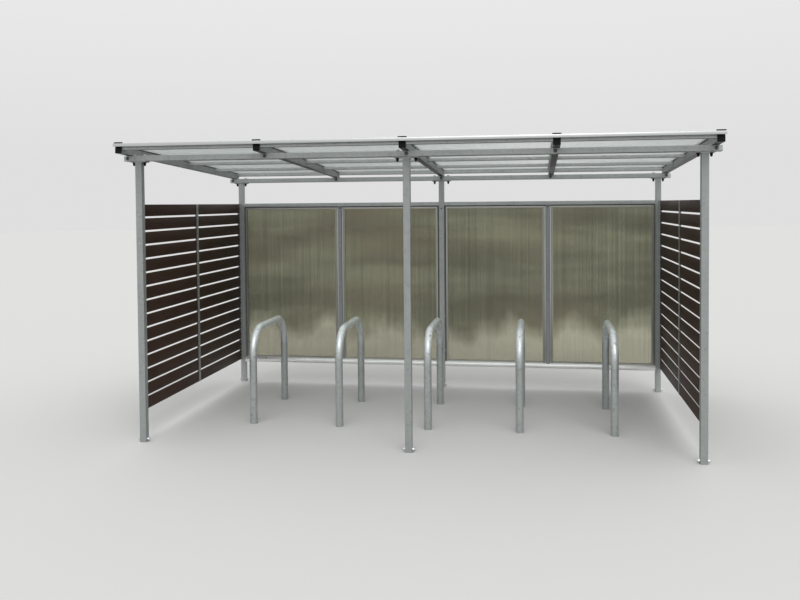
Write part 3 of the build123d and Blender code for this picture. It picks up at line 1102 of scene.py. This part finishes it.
@dataclass
class BackWall:
    """The framed bronze sheets, their flutes, and the rivets and screws of their uprights."""

    flute_pitch: float = 0.011
    web_thickness: float = 0.0006
    skin: float = 0.0008
    sheet_edge: float = 0.005
    post_half: float = 0.025
    post_gap: float = 0.016
    pane_gap: float = 0.066
    mullion_half: float = 0.043
    flange_near: float = 0.0185
    flange_far: float = 0.0315
    flange_back: float = 0.001
    flange_depth: float = 0.002
    flange_edge: float = 0.0004
    strip_width: float = 0.009
    strip_proud: float = 0.0006
    strip_inset: float = 0.001
    post_strip_share: float = 0.7
    bolt_height: float = 1.727
    rivet_heights: tuple[float, ...] = (0.335, 0.578, 1.320, 1.649)
    sill_edge: float = 0.0012
    rail_edge: float = 0.0015
    upright_edge: float = 0.0007
    frame_edge: float = 0.0006

    def uprights(self) -> tuple[float, float]:
        """The middle lines of the two mullions."""
        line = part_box("back_wall_mullions")[1][0] - self.mullion_half
        return -line, line

    def panes(self) -> list[tuple[float, float]]:
        """Find the framed sheets.

        Returns:
            The outside left and right edges of each.
        """
        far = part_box("back_wall_frames")[1][0]
        near = self.post_half + self.post_gap
        upright = self.uprights()[1]
        half_gap = self.pane_gap / 2
        right_bay = [(near, upright - half_gap), (upright + half_gap, far)]
        return [(-right, -left) for left, right in reversed(right_bay)] + right_bay

    def flutes(self) -> None:
        """The thin upright walls inside the sheets."""
        low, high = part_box("back_wall_sheets")
        half = self.web_thickness / 2
        mesh = bmesh.new()
        for left, right in self.panes():
            for x in even_lines(left + self.sheet_edge, right - self.sheet_edge, self.flute_pitch):
                put(mesh, block((x - half, low[1] + self.skin, low[2] + self.skin),
                                (x + half, high[1] - self.skin, high[2] - self.skin)))
        shown("back_sheet_flutes", mesh, Look.WALL_WEBS, all_smooth=False)

    def strips(self) -> None:
        """The pale strips by the mullions, and along the frames' tops, feet and post sides."""
        mesh = bmesh.new()
        low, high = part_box("back_wall_frames")
        front, foot, head = low[1], low[2], high[2]
        near_face = front + self.flange_back
        for line in self.uprights():
            for side in (-1, 1):
                near, far = sorted((line + side * self.flange_near, line + side * self.flange_far))
                put(mesh, block((near, near_face, foot), (far, near_face + self.flange_depth, head),
                                self.flange_edge))
        proud = front - self.strip_proud
        for left, right in self.panes():
            put(mesh, block((left + self.strip_inset, proud, head - self.strip_width),
                            (right - self.strip_inset, front, head - self.strip_inset)))
            right_on_post = abs(right - self.uprights()[right > 0]) > self.pane_gap
            on_post, inward = (right, -1) if right_on_post else (left, 1)
            near, far = sorted((on_post + inward * self.strip_inset,
                                on_post + inward * self.strip_width * self.post_strip_share))
            put(mesh, block((near, proud, foot), (far, front, head - self.strip_width)))
            put(mesh, block((left + self.strip_width, proud, foot),
                            (right - self.strip_width, front, foot + self.strip_width)))
        shown("back_wall_strips", mesh, Look.STRIPS, all_smooth=False)

    def small_fastenings(self) -> None:
        """A bolt on a ring at the head of each mullion, and rivets down the strips beside it."""
        mullion_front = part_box("back_wall_mullions")[0][1]
        strip_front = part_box("back_wall_frames")[0][1] + self.flange_back
        reach = (self.flange_near + self.flange_far) / 2
        rivets = [Axis.FRONT.at((line + side * reach, strip_front, z))
                  for line in self.uprights() for z in self.rivet_heights for side in (-1, 1)]
        heads = [Axis.FRONT.at((line, mullion_front, self.bolt_height)) for line in self.uprights()]
        scattered("back_wall_rivets", Fastening.RIVET, rivets, Look.FASTENING)
        scattered("back_wall_bolts", Fastening.SMALL_BOLT, heads, Look.DULL_BOLTS)
        scattered("back_wall_bolt_rings", Fastening.BOLT_RING, heads, Look.RUBBER)

    def build(self) -> None:
        """Show the wall's solids with softened edges and add its small pieces."""
        soften(("back_wall_sills",), self.sill_edge, Look.SILL, LONG_EDGE)
        soften(("back_wall_top_rails",), self.rail_edge, Look.BEAMS, LONG_EDGE)
        soften(("back_wall_stiles", "back_wall_mullions"), self.upright_edge, Look.STEEL, LONG_EDGE)
        soften(("back_wall_frames",), self.frame_edge, Look.FRAMES, LONG_EDGE)
        dress(("back_wall_sheets",), Look.WALL)
        dress(("back_wall_gaskets",), Look.GASKETS)
        self.flutes()
        self.strips()
        self.small_fastenings()


@dataclass
class SideWall:
    """One boarded side: rounded boards, and the screws that hold them to the steel."""

    side: Side
    count: int = 15
    board_height: float = 0.090
    board_edge: float = 0.0012
    pitch: float = 0.104
    screw_from_edge: float = 0.022
    screw_from_end: float = 0.018
    bar_wall: float = 0.003
    bar_edge: float = 0.0008

    def name(self) -> str:
        """The side's name, as the nodes have it."""
        return self.side.name.lower()

    def bases(self) -> list[float]:
        """The height of each board's lower edge."""
        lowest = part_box(f"side_boards_{self.name()}")[0][2]
        return [lowest + row * self.pitch for row in range(self.count)]

    def boards(self) -> None:
        """The boards with rounded edges."""
        node = f"side_boards_{self.name()}"
        low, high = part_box(node)
        mesh = bmesh.new()
        for base in self.bases():
            top = base + self.board_height
            put(mesh, block((low[0], low[1], base), (high[0], high[1], top), self.board_edge))
        shown(f"boards_{self.name()}", mesh, Look.BOARDS, (node,), all_smooth=False)

    def screws(self) -> None:
        """Two screws a board at the cleats and at the middle bar, seen from inside and outside."""
        low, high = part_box(f"side_boards_{self.name()}")
        bars_low, bars_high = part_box(f"side_bars_{self.name()}")
        if self.side is Side.LEFT:
            inward, outward, inner, outer = Axis.RIGHT, Axis.LEFT, high[0], bars_low[0]
        else:
            inward, outward, inner, outer = Axis.LEFT, Axis.RIGHT, low[0], bars_high[0]
        lines = ((low[1] + self.screw_from_end, inner),
                 ((low[1] + high[1]) / 2, inner - self.side.value * self.bar_wall),
                 (high[1] - self.screw_from_end, inner))
        places = [way.at((x, y, z)) for base in self.bases()
                  for z in (base + self.screw_from_edge, base + self.board_height - self.screw_from_edge)
                  for y, face in lines for way, x in ((inward, face), (outward, outer))]
        scattered(f"board_screws_{self.name()}", Fastening.SCREW, places, Look.FASTENING)

    def build(self) -> None:
        """Build the wall's boards and screws, and dress its bars."""
        soften((f"side_bars_{self.name()}",), self.bar_edge, Look.STEEL, LONG_EDGE)
        self.boards()
        self.screws()


@dataclass
class BikeStand:
    """One bent tube with two legs."""

    number: int
    bend: float = 0.200
    round_sides: int = 40
    bend_steps: int = 18
    crease: float = 50.0
    vent_on: int = 3
    vent_up: float = 49.0
    vent_aside: float = 28.0
    vent_sunk: float = 0.0010
    low: Point = field(init=False)
    high: Point = field(init=False)
    radius: float = field(init=False)

    def __post_init__(self) -> None:
        """Read the tube's place and its outer radius from its CAD node."""
        self.low, self.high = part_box(f"bike_stand_{self.number}")
        self.radius = (self.high[0] - self.low[0]) / 2

    def tube(self) -> BMesh:
        """Draw the tube along its centre line, from the front foot to the back foot.

        Returns:
            A new bmesh.
        """
        x = (self.low[0] + self.high[0]) / 2
        front, back = self.low[1] + self.radius, self.high[1] - self.radius
        turn_level = self.high[2] - self.radius - self.bend
        mesh = bmesh.new()
        ring = bmesh.ops.create_circle(mesh, cap_ends=False, segments=self.round_sides, radius=self.radius)
        bmesh.ops.translate(mesh, vec=(x, front, 0), verts=ring["verts"])
        foot = mesh.edges[:]
        edges = self.straight(mesh, foot, Vector((0, 0, turn_level)))
        edges = self.turned(mesh, edges, Vector((x, front + self.bend, turn_level)))
        edges = self.straight(mesh, edges, Vector((0, back - front - 2 * self.bend, 0)))
        edges = self.turned(mesh, edges, Vector((x, back - self.bend, turn_level)))
        edges = self.straight(mesh, edges, Vector((0, 0, -turn_level)))
        bmesh.ops.contextual_create(mesh, geom=foot)
        bmesh.ops.contextual_create(mesh, geom=edges)
        bmesh.ops.recalc_face_normals(mesh, faces=mesh.faces[:])
        return mesh

    def straight(self, mesh: BMesh, edges: Edges, way: Vector) -> Edges:
        """Draw the ring along a line.

        Args:
            mesh: The tube so far.
            edges: The ring at its end.
            way: How far and which way the ring goes.

        Returns:
            The ring at its new end.
        """
        made = bmesh.ops.extrude_edge_only(mesh, edges=edges)["geom"]
        ring = [item for item in made if isinstance(item, bmesh.types.BMVert)]
        bmesh.ops.translate(mesh, vec=way, verts=ring)
        return [item for item in made if isinstance(item, bmesh.types.BMEdge)]

    def turned(self, mesh: BMesh, edges: Edges, centre: Vector) -> Edges:
        """Draw the ring round a quarter turn.

        Args:
            mesh: The tube so far.
            edges: The ring at its end.
            centre: The middle of the bend.

        Returns:
            The ring at its new end.
        """
        made = bmesh.ops.spin(mesh, geom=edges, cent=centre, axis=(1, 0, 0), dvec=(0, 0, 0),
                              angle=-math.pi / 2, steps=self.bend_steps, use_duplicate=False)
        return [item for item in made["geom_last"] if isinstance(item, bmesh.types.BMEdge)]

    def vent(self) -> None:
        """The small dark plug in the front bend's vent hole."""
        centre = Vector(((self.low[0] + self.high[0]) / 2, self.low[1] + self.radius + self.bend,
                         self.high[2] - self.radius - self.bend))
        up = math.radians(self.vent_up)
        aside = math.radians(self.vent_aside)
        outward = Vector((0, -math.cos(up), math.sin(up)))
        normal = outward * math.cos(aside) + Vector((math.sin(aside), 0, 0))
        turn = Vector((0, 0, 1)).rotation_difference(normal).to_matrix().to_4x4()
        spot = Matrix.Translation(centre + outward * self.bend + normal * (self.radius - self.vent_sunk))
        scattered(f"stand_vent_plug_{self.number}", Fastening.VENT_PLUG, [spot @ turn], Look.CAPS)

    def build(self) -> None:
        """Show the tube in place of the CAD's many-sided one."""
        shown(f"stand_tube_{self.number}", self.tube(), Look.STANDS, (f"bike_stand_{self.number}",),
              crease=self.crease)
        if self.number == self.vent_on:
            self.vent()


@dataclass
class Studio:
    """The camera, the floor and the light."""

    lens: float = 38.216
    sensor: float = 36.0
    shift: tuple[float, float] = (0.0051, -0.0862)
    eye: Point = (0.902, -6.9269, 1.760)
    yaw: float = 9.446
    pitch: float = -1.831
    roll: float = -0.477
    far_end: float = 200.0
    floor_radius: float = 60.0
    floor_sides: int = 64
    floor_roughness: float = 0.9
    pale: Colour = (0.53, 0.53, 0.525)
    bounce: Colour = (0.19, 0.19, 0.18)
    sky: Range = (0.42, 1.25)
    seen_sky: Range = (0.74, 1.05)
    sky_range: Range = (0.05, 0.80)
    lamp: float = 1.4
    lamp_width: float = 50.0
    lamp_tilt: float = 43.0
    lamp_turn: float = 10.0

    def camera(self) -> None:
        """Stand the camera where the photograph was taken."""
        data = bpy.data.cameras.new("eye")
        data.lens = self.lens
        data.sensor_width = self.sensor
        data.shift_x, data.shift_y = self.shift
        data.clip_end = self.far_end
        camera = bpy.data.objects.new("eye", data)
        turn = (Matrix.Rotation(math.radians(self.yaw), 4, "Z")
                @ Matrix.Rotation(math.radians(90 + self.pitch), 4, "X")
                @ Matrix.Rotation(math.radians(self.roll), 4, "Z"))
        camera.matrix_world = Matrix.Translation(self.eye) @ turn
        bpy.context.scene.collection.objects.link(camera)
        bpy.context.scene.camera = camera

    def seen_rays(self, graph: Graph) -> Socket:
        """Tell the rays that are seen from the ones that only light.

        Args:
            graph: The graph to draw on.

        Returns:
            One where a ray is seen, mirrored or looked through, and nothing elsewhere.
        """
        rays = graph.add("ShaderNodeLightPath").outputs
        kinds = ("Is Camera Ray", "Is Glossy Ray", "Is Transmission Ray")
        return graph.joined("MAXIMUM", *(rays[kind] for kind in kinds))

    def draw_floor(self, graph: Graph) -> Socket:
        """Draw a pale floor that throws back less light than it seems to.

        Args:
            graph: The graph to draw on.

        Returns:
            The shader.
        """
        seen = graph.shader("Principled", Roughness=self.floor_roughness, Base_Color=(*self.pale, 1.0))
        bounced = graph.shader("Diffuse", Color=(*self.bounce, 1.0))
        return graph.mixed(self.seen_rays(graph), bounced, seen)

    def draw_sky(self, graph: Graph) -> Socket:
        """Draw soft light that grows from the horizon upwards, with a paler sky where it is seen.

        Args:
            graph: The graph to draw on.

        Returns:
            The shader.
        """
        height = graph.upward(graph.places["Generated"])
        skies = []
        for strength in (self.sky, self.seen_sky):
            glow = graph.spread(height, *strength, *self.sky_range)
            sky = graph.add("ShaderNodeBackground", Color=(1.0, 1.0, 1.0, 1.0), Strength=glow)
            skies.append(sky.outputs["Background"])
        return graph.mixed(self.seen_rays(graph), *skies)

    def floor(self) -> None:
        """A wide pale floor."""
        mesh = bmesh.new()
        bmesh.ops.create_circle(mesh, cap_ends=True, segments=self.floor_sides, radius=self.floor_radius)
        data = bpy.data.meshes.new("floor")
        mesh.to_mesh(data)
        mesh.free()
        material = bpy.data.materials.new("pale_floor")
        draw_nodes(material, self.draw_floor)
        data.materials.append(material)
        piece = bpy.data.objects.new("floor", data)
        bpy.context.scene.collection.objects.link(piece)

    def world(self) -> None:
        """The sky's soft light."""
        world = bpy.data.worlds.new("studio")
        bpy.context.scene.world = world
        draw_nodes(world, self.draw_sky)

    def lamps(self) -> None:
        """One wide soft lamp, high in front and a little to the right."""
        data = bpy.data.lights.new("soft_lamp", "SUN")
        data.energy = self.lamp
        data.angle = math.radians(self.lamp_width)
        lamp = bpy.data.objects.new("soft_lamp", data)
        lamp.rotation_euler = (math.radians(self.lamp_tilt), 0, math.radians(self.lamp_turn))
        bpy.context.scene.collection.objects.link(lamp)

    def build(self) -> None:
        """Set up the whole studio."""
        bpy.context.scene.view_settings.view_transform = "Standard"
        self.camera()
        self.floor()
        self.world()
        self.lamps()


def main() -> None:
    """Build the studio, then dress the shelter from the ground up."""
    logging.basicConfig(level=logging.INFO, format="%(name)s: %(message)s")
    Studio().build()
    plane = RoofPlane()
    SteelFrame(plane).build()
    Roof(plane).build()
    BackWall().build()
    for side in Side:
        SideWall(side).build()
    for number in STANDS:
        BikeStand(number).build()


if __name__ == "__main__":
    main()
